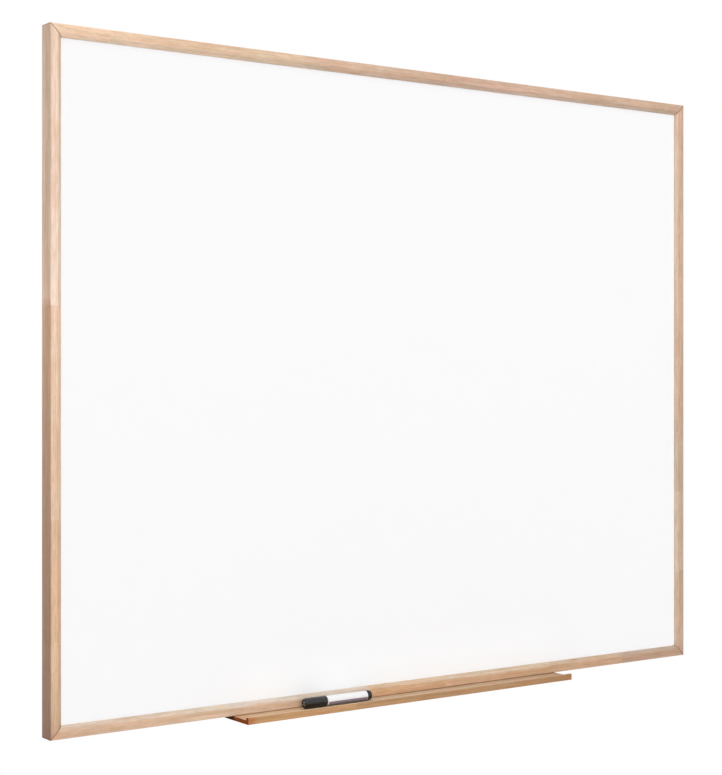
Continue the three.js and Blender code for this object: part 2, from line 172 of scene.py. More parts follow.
# Lamps
# A very broad soft window in front and a little left lights the whole face evenly. It isn't mirrored, because
# the white air is. A smaller soft lamp from above gives the marker its upper highlight.
def far_lamp(name, left, up, width, strength):
    """A lamp so far off that it lights evenly, in degrees left of square on and up, and degrees wide."""
    data = bpy.data.lights.new(name, "SUN")
    data.angle = math.radians(width)
    data.energy = math.pi * strength
    lamp = bpy.data.objects.new(name, data)
    left, up = math.radians(left), math.radians(up)
    towards = Vector((-math.sin(left) * math.cos(up), -math.cos(left) * math.cos(up), math.sin(up)))
    lamp.rotation_euler = towards.to_track_quat("Z", "Y").to_euler()
    scene.collection.objects.link(lamp)
    return lamp


far_lamp("window", left=21, up=9, width=50, strength=0.59).visible_glossy = False
far_lamp("overhead", left=12, up=58, width=26, strength=0.125)


# Frame
# Four mitred lengths of light hardwood, moulded with a bevel and rebated for the panel, glued and nailed.
# Each rail is glued up from shorter lengths of differing tone, as such mouldings are. The left stile's upper
# length is a paler stick, joined by long fingers. A thin clear lacquer lets the grain and the pores show.
BEVEL_WIDTH = 0.006
BEVEL_EASE = (0.0003, 0.0014)    # into the bevel, where its painted light and shade sets in and where it is full
MITRE_REACH = 0.0021             # of the darker wood beside a mitre
SIDE_EASE = (0.0018, 0.0002)     # from the outer side, where its painted shade sets in and where it is full
BACK_EASE = (0.016, 0.021)       # behind the front, where a stile's side gets paler
BACK_DRIFT = 0.006               # how far that line wanders
FOOT_EASE = (0.028, 0.004)       # above the frame's lower edge, where a stile darkens towards its foot
LACQUER_GLOSS = 0.42
RING_WIDTH = 0.0026
FIGURE = 0.006                   # how far the growth rings sway
FINGER_WIDTH = 0.0025
FINGER_SLOPE = 1.6               # how far a finger reaches along the wood, against its width
JOINT_SHARE = 0.0004             # of a member, over which one length's tone gives way to the next
face_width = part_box("top_rail")[1].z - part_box("top_rail")[0].z
frame_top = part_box("top_rail")[1].z
frame_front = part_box("top_rail")[0].y
half_width = -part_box("left_stile_lower")[0].x
half_height = (frame_top - frame_bottom) / 2
frame_middle = (frame_top + frame_bottom) / 2


def linear(red, green, blue):
    """A colour as it is read off a screen, as the shaders take it."""
    def channel(value):
        value = value / 255
        return value / 12.92 if value <= 0.04045 else ((value + 0.055) / 1.055) ** 2.4
    return (channel(red), channel(green), channel(blue), 1)


def new_group(name, inputs, outputs):
    group = bpy.data.node_groups.new(name, "ShaderNodeTree")
    for way, sockets in (("INPUT", inputs), ("OUTPUT", outputs)):
        for title, kind in sockets.items():
            group.interface.new_socket(title, in_out=way, socket_type="NodeSocket" + kind)
    return group, node(group, "NodeGroupInput").outputs


def use_group(tree, group, inputs):
    return node(tree, "ShaderNodeGroup", inputs, node_tree=group).outputs


def scaled(tree, vector, scale):
    return node(tree, "ShaderNodeVectorMath", {0: vector, "Scale": scale}, operation="SCALE").outputs[0]


def mixed(tree, share, first, second, blend="MIX"):
    inputs = {0: share, 6: first, 7: second}
    return node(tree, "ShaderNodeMix", inputs, data_type="RGBA", blend_type=blend).outputs[2]


def tinted(tree, share, color, tint):
    """Multiplies a colour by a tint, as far as share goes."""
    return mixed(tree, share, color, tint, blend="MULTIPLY")


def clouds(tree, vector, scale, detail, output="Fac"):
    """Noise that is as long as it is wide, in turns to the metre."""
    inputs = {"Vector": vector, "Scale": scale, "Detail": detail}
    return node(tree, "ShaderNodeTexNoise", inputs).outputs[output]


def noise(tree, vector, along, across, detail=2.0, output="Fac"):
    """Noise with its own scale along X, in turns to the metre, and across."""
    stretched = vector_math(tree, "MULTIPLY", vector, (along, across, across))
    return clouds(tree, stretched, 1.0, detail, output)


def bumps(tree, height, strength, distance):
    inputs = {"Height": height, "Strength": strength, "Distance": distance}
    return node(tree, "ShaderNodeBump", inputs).outputs[0]


def surface(tree, inputs):
    """The material's own shader."""
    shader = node(tree, "ShaderNodeBsdfPrincipled", inputs)
    node(tree, "ShaderNodeOutputMaterial", {"Surface": shader.outputs[0]})


def wood_group():
    """Hardwood with its grain along X, in shades of one stock colour."""
    group, into = new_group(
        "wood_grain",
        {"Vector": "Vector", "Stock": "Color", "Ring Width": "Float", "Figure": "Float", "Pores": "Float"},
        {"Color": "Color", "Roughness": "Float", "Height": "Float"})
    # Growth rings run round a pith far to one side, and drift a little along the length
    swing = noise(group, into["Vector"], 1.1, 7.0, output="Color")
    swing = vector_math(group, "SUBTRACT", swing, (0.5, 0.5, 0.5))
    bent = vector_math(group, "ADD", into["Vector"], scaled(group, swing, into["Figure"]))
    radius = length_of(group, vector_math(group, "MULTIPLY", bent, (0.012, 1, 1)))
    phase = arithmetic(group, "FRACT", arithmetic(group, "DIVIDE", radius, into["Ring Width"]))
    late = arithmetic(group, "MULTIPLY", ramp(group, phase, 0.35, 0.9), ramp(group, phase, 1.0, 0.93))

    broad = noise(group, into["Vector"], 5.0, 150.0)
    narrow = noise(group, into["Vector"], 15.0, 480.0)
    fibre = noise(group, into["Vector"], 30.0, 1900.0)
    cloud = noise(group, into["Vector"], 5.0, 26.0)
    patch = noise(group, into["Vector"], 48.0, 240.0)
    hue = noise(group, into["Vector"], 22.0, 130.0)
    blush = ramp(group, noise(group, into["Vector"], 9.0, 70.0), 0.55, 0.7)
    shade = arithmetic(group, "MULTIPLY", late, 0.3)
    for pattern, weight in ((broad, 1.2), (narrow, 1.3), (fibre, 0.5), (cloud, 1.0), (patch, 1.5)):
        part = arithmetic(group, "MULTIPLY", arithmetic(group, "SUBTRACT", pattern, 0.5), weight)
        shade = arithmetic(group, "ADD", shade, part)
    shade = arithmetic(group, "ADD", shade, 0.34, clamp=True)

    # Pores are short open dashes, and flecks are longer, rarer and softer
    pores = ramp(group, noise(group, into["Vector"], 170.0, 3200.0, detail=1.0), 0.62, 0.72)
    flecks = ramp(group, noise(group, into["Vector"], 48.0, 820.0, detail=1.0), 0.68, 0.76)
    pores = arithmetic(group, "MULTIPLY", arithmetic(group, "MAXIMUM", pores, flecks), into["Pores"])
    tint = mixed(group, shade, (1.09, 1.10, 1.13, 1), (0.86, 0.80, 0.73, 1))
    tint = tinted(group, arithmetic(group, "MULTIPLY", blush, 0.4), tint, (0.97, 0.87, 0.84, 1))
    warmth = mixed(group, ramp(group, hue, 0.3, 0.7), (1.03, 0.98, 0.97, 1), (0.98, 1.01, 1.01, 1))
    tint = tinted(group, 1.0, tint, warmth)
    knots = ramp(group, noise(group, into["Vector"], 26.0, 170.0, detail=3.0), 0.70, 0.80)
    tint = tinted(group, arithmetic(group, "MULTIPLY", knots, 0.8), tint, (0.82, 0.68, 0.60, 1))
    tint = mixed(group, pores, tint, (0.62, 0.50, 0.40, 1))
    color = tinted(group, 1.0, into["Stock"], tint)

    rough = arithmetic(group, "ADD", arithmetic(group, "MULTIPLY", fibre, 0.14), 0.36)
    rough = arithmetic(group, "ADD", rough, arithmetic(group, "MULTIPLY", pores, 0.25))
    height = arithmetic(group, "SUBTRACT", arithmetic(group, "MULTIPLY", fibre, 0.35), pores)
    node(group, "NodeGroupOutput", {"Color": color, "Roughness": rough, "Height": height})
    return group


def marks_group():
    """Where the bevel lies, and where two rails meet at a mitre."""
    group, into = new_group("frame_marks", {"Vector": "Vector"}, {"Bevel": "Float", "Mitre": "Float"})
    parts = axes(group, into["Vector"])
    from_side = arithmetic(group, "SUBTRACT", half_width, arithmetic(group, "ABSOLUTE", parts[0]))
    rise = arithmetic(group, "ABSOLUTE", arithmetic(group, "SUBTRACT", parts[2], frame_middle))
    from_end = arithmetic(group, "SUBTRACT", half_height, rise)
    inward = arithmetic(group, "MINIMUM", from_side, from_end)
    flat = face_width - BEVEL_WIDTH
    bevel = ramp(group, inward, flat + BEVEL_EASE[0], flat + BEVEL_EASE[1])
    apart = arithmetic(group, "ABSOLUTE", arithmetic(group, "SUBTRACT", from_side, from_end))
    node(group, "NodeGroupOutput", {"Bevel": bevel, "Mitre": ramp(group, apart, MITRE_REACH, 0.0)})
    return group


wood_grain = wood_group()
frame_marks = marks_group()


def frame_finish(tree, place, grain, bevel, foot=None, head=None):
    """The bevel's tint, given as what it multiplies, is painted light and shade, matched to the way each
    bevel faces the lamps. Glue and end grain darken the mitres. A stile's outer side is painted darker as its
    shade, by the foot tint towards the bottom and the head tint towards the top, and it is paler towards the
    back."""
    marks = use_group(tree, frame_marks, {"Vector": place})
    # Painted light and shade: each bevel is tinted lighter or darker by the way it faces the lamps
    color = tinted(tree, marks["Bevel"], grain["Color"], bevel)
    if foot:
        parts = axes(tree, place)
        out = arithmetic(tree, "ABSOLUTE", parts[0])
        # Painted shade: a stile's outer side is darkened, by the foot tint low down and by the head tint high
        # up
        side = ramp(tree, out, half_width - SIDE_EASE[0], half_width - SIDE_EASE[1])
        rise = ramp(tree, parts[2], frame_bottom, frame_top)
        color = tinted(tree, side, color, mixed(tree, rise, foot, head))
        drift = arithmetic(tree, "MULTIPLY", noise(tree, place, 40.0, 9.0), BACK_DRIFT)
        back = arithmetic(tree, "ADD", parts[1], drift)
        back = ramp(tree, back, frame_front + BACK_EASE[0], frame_front + BACK_EASE[1])
        color = tinted(tree, back, color, (1.12, 1.14, 1.20, 1))
        # A stile is darker towards its foot
        foot_dark = ramp(tree, parts[2], frame_bottom + FOOT_EASE[0], frame_bottom + FOOT_EASE[1])
        color = tinted(tree, foot_dark, color, (0.88, 0.80, 0.80, 1))
    color = tinted(tree, arithmetic(tree, "MULTIPLY", marks["Mitre"], 0.75), color, (0.45, 0.32, 0.24, 1))
    return {"Base Color": color, "Roughness": grain["Roughness"], "Specular IOR Level": LACQUER_GLOSS}


def wood(node_name, upright, pith, lengths, finish, pores=0.55, **tones):
    """Lacquered wood for one CAD node, its grain along Z if upright and along X if not. Each length is
    (where it starts, as a share of the whole, its colour there, its colour at its far end). The finish is
    a function that turns bare grain and the tones given into the inputs of the node's shader."""
    low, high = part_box(node_name)
    start, end = (low.z, high.z) if upright else (low.x, high.x)
    material, tree = new_material("wood_" + node_name)
    place = object_place(tree)
    turn = (0, math.pi / 2, 0) if upright else (0, 0, 0)
    turned = node(tree, "ShaderNodeMapping", {"Vector": place, "Rotation": turn}).outputs[0]
    parts = axes(tree, turned)

    # The lengths meet in fingers, so a joint zigzags through the depth and lies straight on the face
    fingers = arithmetic(tree, "MULTIPLY", arithmetic(tree, "PINGPONG", parts[1], FINGER_WIDTH), FINGER_SLOPE)
    along = arithmetic(tree, "SUBTRACT", arithmetic(tree, "ADD", parts[0], fingers), start)
    share = arithmetic(tree, "DIVIDE", along, end - start)
    stops = []
    number = 0.0
    for index, (begin, near, far) in enumerate(lengths):
        until = lengths[index + 1][0] - JOINT_SHARE if index + 1 < len(lengths) else 1.0
        stops += [(begin, near), (until, far)]
        if index:
            number = arithmetic(tree, "ADD", number, arithmetic(tree, "GREATER_THAN", share, begin))
    stock = node(tree, "ShaderNodeValToRGB", {0: share})
    for index, (position, colour) in enumerate(stops):
        stop = stock.color_ramp.elements[index] if index < 2 else stock.color_ramp.elements.new(position)
        stop.position, stop.color = position, linear(*colour)

    # Each length is another piece of the tree, so its grain starts afresh
    shift = scaled(tree, (0.37, 0.021, 0.043), number)
    grain_place = vector_math(tree, "ADD", vector_math(tree, "ADD", turned, pith), shift)
    grain = use_group(tree, wood_grain, {"Vector": grain_place, "Stock": stock.outputs[0],
                                         "Ring Width": RING_WIDTH, "Figure": FIGURE, "Pores": pores})
    inputs = finish(tree, place, grain, **tones)
    surface(tree, inputs | {"Normal": bumps(tree, grain["Height"], 0.35, 0.0001)})
    dress(material, node_name)
    return material


def dress(material, *names):
    """Gives CAD nodes their finish."""
    for name in names:
        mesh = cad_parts[name].data
        mesh.materials.clear()
        mesh.materials.append(material)


# The tones of the lengths are partly the wood's own and partly painted light: the frame is paler at its left
# and towards its top, and darker to the right and towards its foot, as the light falls off across it. The
# bevel, foot and head tints are painted light and shade.
wood("top_rail", False, (1.7, 0.061, 0.043), [
    (0.0, (236, 207, 177), (235, 205, 175)),
    (0.075, (231, 200, 170), (223, 194, 167)),
    (0.34, (216, 187, 162), (203, 171, 146)),
    (0.56, (207, 174, 152), (209, 176, 154)),
    (0.70, (210, 179, 155), (200, 171, 147)),
], frame_finish, bevel=(0.95, 0.985, 1.02, 1))
wood("bottom_rail", False, (0.3, 0.052, 0.97), [
    (0.0, (209, 175, 148), (214, 184, 156)),
    (0.23, (212, 188, 166), (210, 183, 158)),
    (0.44, (211, 172, 136), (212, 178, 145)),
    (0.56, (209, 177, 147), (208, 178, 147)),
    (0.745, (197, 161, 129), (193, 157, 128)),
    (0.877, (182, 148, 123), (182, 152, 128)),
], frame_finish, bevel=(1.04, 1.20, 1.36, 1))
wood("left_stile_lower", True, (0.9, 0.055, -0.5), [
    (0.0, (200, 168, 138), (220, 185, 152)),
    (0.22, (214, 178, 145), (221, 188, 158)),
    (0.50, (226, 195, 167), (237, 207, 182)),
], frame_finish, bevel=(0.96, 0.96, 0.95, 1), foot=(0.53, 0.45, 0.44, 1), head=(0.83, 0.69, 0.53, 1))
wood("left_stile_upper", True, (2.9, 0.047, -0.46), [
    (0.0, (242, 221, 202), (237, 210, 188)),
], frame_finish, pores=0.4, bevel=(0.88, 0.85, 0.82, 1), foot=(1.04, 0.80, 0.70, 1),
    head=(0.76, 0.71, 0.65, 1))
wood("right_stile", True, (5.3, 0.05, 0.64), [
    (0.0, (190, 163, 143), (188, 163, 139)),
    (0.155, (193, 171, 151), (196, 174, 154)),
    (0.30, (188, 166, 146), (188, 164, 142)),
    (0.43, (197, 170, 148), (196, 167, 144)),
    (0.70, (198, 172, 149), (198, 172, 149)),
    (0.81, (197, 171, 148), (202, 172, 150)),
], frame_finish, bevel=(1.15, 1.18, 1.18, 1), foot=(0.80, 0.74, 0.70, 1), head=(0.88, 0.82, 0.78, 1))


# Glue
# A film of dried glue fills each mitre and the finger joint, a hair below the wood's surface. The joiner's
# glue in the mitres has darkened, and the mill's glue in the finger joint is as pale as the wood.
MITRE_GAP = 0.00021
SPLICE_GAP = 0.0008
SPLICE_ROOT = 0.545      # above the frame's lower edge
FILM_CLEARANCE = 0.00003
FILM_SHRINK = 0.994      # a film against the face that it lies on
PLANE_TOLERANCE = 0.0004
SAME_WAY = 0.999         # least cosine between a mitre's face and the way across it
LEAST_RISE = 0.02        # of the slope of a finger's face that takes glue
SHARP_ANGLE = 35         # degrees, above which an edge stays sharp in the light


def piece(name, mesh, material, body="board", replaced=(), flat=False):
    """Makes a bmesh an object that rides on a body, and stands for the CAD nodes that it replaces.
    If flat, its large faces stay flat and only the narrow ones between them bend."""
    bmesh.ops.recalc_face_normals(mesh, faces=mesh.faces)
    mesh.normal_update()
    bent = [sum((face.normal * face.calc_area() for face in vert.link_faces), Vector()).normalized()
            for vert in mesh.verts]
    data = bpy.data.meshes.new(name)
    mesh.to_mesh(data)
    mesh.free()
    data.polygons.foreach_set("use_smooth", [True] * len(data.polygons))
    if flat:
        data.normals_split_custom_set_from_vertices(bent)
    else:
        data.set_sharp_from_angle(angle=math.radians(SHARP_ANGLE))
    data.materials.append(material)
    made = bpy.data.objects.new(name, data)
    scene.collection.objects.link(made)
    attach(made, body)
    if replaced:
        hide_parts(*replaced)
    return made


def merged_copy(node_name):
    mesh = bmesh.new()
    mesh.from_mesh(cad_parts[node_name].data)
    bmesh.ops.remove_doubles(mesh, verts=mesh.verts, dist=1e-6)
    return mesh


def film(name, node_name, picked, way, thickness, material):
    """A film on the faces of a CAD node that are picked, thickening in the given way."""
    mesh = merged_copy(node_name)
    mesh.normal_update()
    bmesh.ops.delete(mesh, geom=[face for face in mesh.faces if not picked(face)], context="FACES")
    middle = sum((vert.co for vert in mesh.verts), Vector()) / len(mesh.verts)
    for vert in mesh.verts:
        vert.co = middle + (vert.co - middle) * FILM_SHRINK + way * FILM_CLEARANCE
    raised = bmesh.ops.extrude_face_region(mesh, geom=mesh.faces[:])["geom"]
    raised = [part for part in raised if isinstance(part, bmesh.types.BMVert)]
    bmesh.ops.translate(mesh, verts=raised, vec=way * (thickness - 2 * FILM_CLEARANCE))
    return piece(name, mesh, material)


def glue(name, dark, light):
    material, tree = new_material(name)
    patch = clouds(tree, object_place(tree), 160.0, 2.0)
    surface(tree, {"Base Color": mixed(tree, patch, dark, light), "Roughness": 0.55})
    return material


brown_glue = glue("brown_glue", linear(124, 90, 60), linear(164, 128, 92))
pale_glue = glue("pale_glue", linear(226, 195, 168), linear(240, 211, 186))

for rail, up in (("top_rail", 1), ("bottom_rail", -1)):
    for side, across in (("left", -1), ("right", 1)):
        way = Vector((across, 0, -up)).normalized()

        def on_mitre(face):
            centre = face.calc_center_median()
            from_side = half_width - across * centre.x
            from_end = half_height - up * (centre.z - frame_middle)
            return face.normal.dot(way) > SAME_WAY and abs(from_side - from_end) < PLANE_TOLERANCE

        film(f"mitre_glue_{rail}_{side}", rail, on_mitre, way, MITRE_GAP, brown_glue)


def on_fingers(face):
    above = face.calc_center_median().z - frame_bottom
    return face.normal.z > LEAST_RISE and above > SPLICE_ROOT - PLANE_TOLERANCE


film("finger_glue", "left_stile_lower", on_fingers, Vector((0, 0, 1)), SPLICE_GAP, pale_glue)


# V-nails
# Bent strips of bright spring steel, one to a corner. Each is pressed across its mitre from the back, and
# draws the two rails together while the glue sets.
def metal(name, dark, light, roughness, grain_scale, bump=0.15):
    """Bare or plated steel, clouded a little and with a fine rolled grain."""
    material, tree = new_material(name)
    place = object_place(tree)
    cloud = clouds(tree, place, 60.0, 3.0)
    fine = noise(tree, place, grain_scale, grain_scale * 9)
    rough = arithmetic(tree, "ADD", arithmetic(tree, "MULTIPLY", cloud, 0.2), roughness - 0.1)
    surface(tree, {"Base Color": mixed(tree, cloud, dark, light), "Roughness": rough, "Metallic": 1.0,
                   "Normal": bumps(tree, fine, bump, 0.00003)})
    return material


def named(prefix):
    return sorted(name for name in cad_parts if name.startswith(prefix))


dress(metal("spring_steel", linear(120, 122, 126), linear(158, 160, 163), 0.34, 900), *named("v_nail"))


# Panel
# A painted steel writing sheet, a fibreboard core and a thin galvanised sheet, laminated under pressure.
# The enamel is baked on, so it has a soft gloss and a faint orange peel. Just above the tray it is painted
# whiter, a painted light that offsets the shade the tray casts there.
SHEET_WHITE = (0.925, 0.914, 0.916, 1)
PAINTED_LIGHT_WHITE = (0.965, 0.975, 0.985, 1)
PAINTED_LIGHT_TOP = 0.10                 # above the frame's lower edge
PAINTED_LIGHT_SIDES = (0.04, 0.06)       # beyond and within the tray's ends, where the painted light fades

enamel, tree = new_material("writing_enamel")
place = object_place(tree)
parts = axes(tree, place)
tray_low, tray_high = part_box("marker_tray")
tray_half = (tray_high.x - tray_low.x) / 2
beside = arithmetic(tree, "ABSOLUTE", arithmetic(tree, "SUBTRACT", parts[0], (tray_low.x + tray_high.x) / 2))
# Painted light: the sheet is whiter just above the tray, against the tray's shade
painted_light = ramp(tree, parts[2], frame_bottom + PAINTED_LIGHT_TOP, frame_bottom + face_width)
painted_light = arithmetic(tree, "MULTIPLY", painted_light,
                   ramp(tree, beside, tray_half + PAINTED_LIGHT_SIDES[0], tray_half - PAINTED_LIGHT_SIDES[1]))
peel = clouds(tree, place, 260.0, 1.0)
surface(tree, {"Base Color": mixed(tree, painted_light, SHEET_WHITE, PAINTED_LIGHT_WHITE), "Roughness": 0.27,
               "Specular IOR Level": 0.35, "Normal": bumps(tree, peel, 0.12, 0.00002)})
dress(enamel, "writing_sheet")

fibreboard, tree = new_material("fibreboard")
shreds = clouds(tree, object_place(tree), 900.0, 4.0)
surface(tree, {"Base Color": mixed(tree, shreds, linear(112, 82, 54), linear(182, 148, 110)),
               "Roughness": 0.9, "Normal": bumps(tree, shreds, 0.5, 0.0002)})
dress(fibreboard, "core_board")

# Hot-dip zinc freezes in crystals, each with its own gloss and its own direction of fine feathering
galvanised, tree = new_material("galvanised_sheet")
place = object_place(tree)
sway = clouds(tree, place, 160.0, 2.0, output="Color")
sway = vector_math(tree, "MULTIPLY", vector_math(tree, "SUBTRACT", sway, (0.5, 0.5, 0.5)), (0.004, 0, 0.004))
flat_place = vector_math(tree, "MULTIPLY", vector_math(tree, "ADD", place, sway), (1, 0, 1))
crystal = node(tree, "ShaderNodeTexVoronoi", {"Vector": flat_place, "Scale": 62.0}).outputs["Color"]
crystal = node(tree, "ShaderNodeSeparateColor", {0: crystal}).outputs
turned = node(tree, "ShaderNodeVectorRotate", {
    "Vector": flat_place, "Axis": (0, 1, 0), "Angle": arithmetic(tree, "MULTIPLY", crystal[0], 6.3)})
feather = noise(tree, turned.outputs[0], 60.0, 1500.0, detail=3.0)
tone = arithmetic(tree, "MULTIPLY", crystal[1], 0.55)
tone = arithmetic(tree, "ADD", tone, arithmetic(tree, "MULTIPLY", feather, 0.7))
surface(tree, {"Base Color": mixed(tree, tone, linear(168, 171, 173), linear(192, 195, 197)), "Metallic": 0.9,
               "Roughness": ramp(tree, crystal[2], 0.0, 1.0, 0.36, 0.48),
               "Normal": bumps(tree, feather, 0.15, 0.00003)})
dress(galvanised, "backing_sheet")


# Panel points
# Flat blued steel points, fired into the wall of the rebate every 280 mm or so. Rather more than half of
# each lies over the backing and holds the panel in.
dress(metal("blued_steel", linear(84, 88, 96), linear(124, 128, 134), 0.42, 700), *named("panel_point"))


# Corner plates and screws
# Zinc-plated steel plates, let in flush, stamped with a keyhole that hangs the board either way up.
# Their edges are rounded by the press. Each is held by two countersunk screws with a cross recess.
zinc_plate = metal("zinc_plate", linear(168, 171, 170), linear(206, 207, 203), 0.33, 500)
bright_steel = metal("screw_steel", linear(164, 164, 162), linear(202, 201, 196), 0.3, 1400)
PRESS_ROUND = 0.00018
EASED_ANGLE = 50         # degrees between faces, above which an edge is rounded


def eased(node_name, width, material):
    """The CAD piece again, with its sharp edges rounded."""
    mesh = merged_copy(node_name)
    bmesh.ops.dissolve_limit(mesh, angle_limit=math.radians(1), verts=mesh.verts, edges=mesh.edges)
    sharp = math.radians(EASED_ANGLE)
    edges = [edge for edge in mesh.edges if edge.is_manifold and edge.calc_face_angle() > sharp]
    bmesh.ops.bevel(mesh, geom=edges, offset=width, segments=2, profile=0.5, affect="EDGES", material=-1,
                    clamp_overlap=True)
    return piece(node_name + "_rounded", mesh, material, replaced=[node_name], flat=True)


for name in named("corner_plate"):
    eased(name, PRESS_ROUND, zinc_plate)

# A screw is drawn from its head: a rim, a cross recess that narrows, a cone, and a thread of sharp rings.
SCREW_STEPS = 48
RIM_ROUND = 0.00012
RECESS_REACH = 0.0015
RECESS_HALF = 0.00035
RECESS_DEPTH = 0.001
RECESS_TAPER = 0.7
THREAD_PITCH = 0.0011
THREAD_START = 0.5       # of a turn, from the ring before
ROOT_WIDTH = 0.3
THREAD_RISE = 0.45       # from the start of a root to the next crest
THREAD_ROOT = 0.82       # radius of the thread's root, as a share of the shank
SHANK_SHARE = 0.5        # radius of the shank, as a share of the head's
CONE_SHARE = 0.58        # depth of the head's cone, as a share of the head's radius
POINT_SHARE = 0.89       # length of the point, as a share of the head's radius
POINT_RADIUS = 0.0001


def screw(node_name, centre, way, head, length):
    """A countersunk wood screw with its head's top at centre and its point in the given way."""
    mesh = bmesh.new()
    bmesh.ops.create_circle(mesh, segments=SCREW_STEPS, radius=head - RIM_ROUND)
    rim_edges = mesh.edges[:]
    near, far = RECESS_HALF, RECESS_REACH
    quarter = [(far, -near), (far, near), (near, near)]
    corners = []
    for turn in range(4):
        corners += quarter
        quarter = [(-y, x) for x, y in quarter]
    cross = [mesh.verts.new((x, y, 0)) for x, y in corners]
    cross_edges = [mesh.edges.new((cross[index - 1], cross[index])) for index in range(len(cross))]
    bmesh.ops.triangle_fill(mesh, use_beauty=True, edges=rim_edges + cross_edges)

    def extruded(edges, place):
        made = bmesh.ops.extrude_edge_only(mesh, edges=edges)["geom"]
        for vert in made:
            if isinstance(vert, bmesh.types.BMVert):
                vert.co = place(vert.co)
        return [edge for edge in made if isinstance(edge, bmesh.types.BMEdge)]

    def recess_floor(co):
        return Vector((co.x * RECESS_TAPER, co.y * RECESS_TAPER, -RECESS_DEPTH))

    bottom = extruded(cross_edges, recess_floor)
    bmesh.ops.triangle_fill(mesh, use_beauty=True, edges=bottom)

    shank = head * SHANK_SHARE
    root = shank * THREAD_ROOT
    cone = head * CONE_SHARE
    point = length - head * POINT_SHARE
    rings = [(RIM_ROUND, head), (cone, shank)]
    for turn in range(int((point - cone) / THREAD_PITCH)):
        begin = cone + (turn + THREAD_START) * THREAD_PITCH
        rings += [(begin, root), (begin + ROOT_WIDTH * THREAD_PITCH, root),
                  (begin + THREAD_RISE * THREAD_PITCH, shank)]
    rings += [(point, root), (length, POINT_RADIUS)]
    ring = rim_edges
    for along, radius in rings:

        def on_ring(co):
            return Vector((co.x, co.y, 0)).normalized() * radius + Vector((0, 0, -along))

        ring = extruded(ring, on_ring)
    bmesh.ops.triangle_fill(mesh, use_beauty=True, edges=ring)
    turned = way.to_track_quat("-Z", "Y").to_matrix()
    for vert in mesh.verts:
        vert.co = turned @ vert.co + centre
    piece(node_name + "_fine", mesh, bright_steel, replaced=[node_name])


for name in named("plate_screw"):
    low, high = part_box(name)
    middle = (low + high) / 2
    head_top = Vector((middle.x, high.y, middle.z))
    screw(name, head_top, Vector((0, -1, 0)), head=(high.x - low.x) / 2, length=high.y - low.y)


# Tray
# One moulding of a redder wood with a low lip, its long edges rounded by the cutter and its sawn ends sanded.
# Bare end grain drinks the lacquer, so the ends are much darker. Three screws pull it up to the bottom rail.
SANDED_ROUND = 0.0004
LIP_EASE = (0.0012, 0.0004)      # behind the front, where the lip front's painted shade sets in and is full
SOAK_REACH = 0.021               # of the stain beside the sawn ends
SOAK_FULL = 0.001
SAWN_EASE = (0.0006, 0.0002)     # from the ends, where their dark end grain sets in and is full
SAWN_ROUGHNESS = 0.85
SAWN_DULLING = 0.34              # how much less than lacquered wood the ends shine
SHADOW_EASE = (0.004, 0.003)      # before and behind the frame's front, where the painted shadow under the frame sets in and is full


def tray_finish(tree, place, grain):
    """End grain drinks the lacquer and is dark, which stains the wood beside it, most at the left end. Behind
    the frame's front the end grain is painted darker still, a painted shadow under the frame, and the lip's
    front is painted darker and redder than the top, as painted shade."""
    parts = axes(tree, place)
    from_middle = arithmetic(tree, "SUBTRACT", parts[0], (tray_low.x + tray_high.x) / 2)
    from_middle = arithmetic(tree, "ABSOLUTE", from_middle)
    lip = (tray_low.y + LIP_EASE[0], tray_low.y + LIP_EASE[1])
    # Painted shade: the lip's front is darker and redder than the lit top
    color = tinted(tree, ramp(tree, parts[1], *lip), grain["Color"], (0.72, 0.56, 0.41, 1))
    soaked = ramp(tree, from_middle, tray_half - SOAK_REACH, tray_half - SOAK_FULL)
    soaked = arithmetic(tree, "MULTIPLY", soaked, ramp(tree, parts[1], *lip, 0.45, 1.0))
    leftness = ramp(tree, parts[0], tray_low.x, tray_high.x, 1.0, 0.18)
    color = tinted(tree, arithmetic(tree, "MULTIPLY", soaked, leftness), color, (0.90, 0.58, 0.36, 1))
    sawn = ramp(tree, from_middle, tray_half - SAWN_EASE[0], tray_half - SAWN_EASE[1])
    # The ends are dark end grain, painted darker still behind the frame's front as a painted shadow under the
    # frame
    end_grain_and_shadow = mixed(tree, ramp(tree, parts[1], frame_front - SHADOW_EASE[0], frame_front + SHADOW_EASE[1]),
                  (0.36, 0.155, 0.06, 1), (0.10, 0.045, 0.02, 1))
    rough = arithmetic(tree, "MULTIPLY", sawn, SAWN_ROUGHNESS)
    dulling = arithmetic(tree, "MULTIPLY", sawn, SAWN_DULLING)
    return {"Base Color": tinted(tree, sawn, color, end_grain_and_shadow),
            "Roughness": arithmetic(tree, "MAXIMUM", grain["Roughness"], rough),
            "Specular IOR Level": arithmetic(tree, "SUBTRACT", LACQUER_GLOSS, dulling)}


tray_wood = wood("marker_tray", False, (3.1, 0.12, 0.93), [
    (0.0, (218, 187, 151), (218, 187, 151)),
    (0.31, (208, 183, 152), (206, 179, 149)),
    (0.72, (206, 180, 150), (191, 160, 127)),
], tray_finish)
eased("marker_tray", SANDED_ROUND, tray_wood)

for name in named("tray_screw"):
    low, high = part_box(name)
    middle = (low + high) / 2
    head_top = Vector((middle.x, middle.y, low.z))
    screw(name, head_top, Vector((0, 0, 1)), head=(high.x - low.x) / 2, length=high.z - low.z)


# Marker
# Every part is moulded or turned about one axis. A profile lists (distance from the cap's closed end, radius,
# rounding of the corner). The barrel carries a plain film, and the cap has a liner that keeps it tight.
MARKER_STEPS = 96
SEAT_GAP = 0.0003        # between pieces that touch
SPIGOT_RADIUS = 0.0055   # of the nose and the plug, inside the barrel
marker_low, marker_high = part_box("marker_cap")
axis_start = Vector((marker_low.x, (marker_low.y + marker_high.y) / 2, (marker_low.z + marker_high.z) / 2))
cap_radius = (marker_high.z - marker_low.z) / 2
cap_length = marker_high.x - marker_low.x


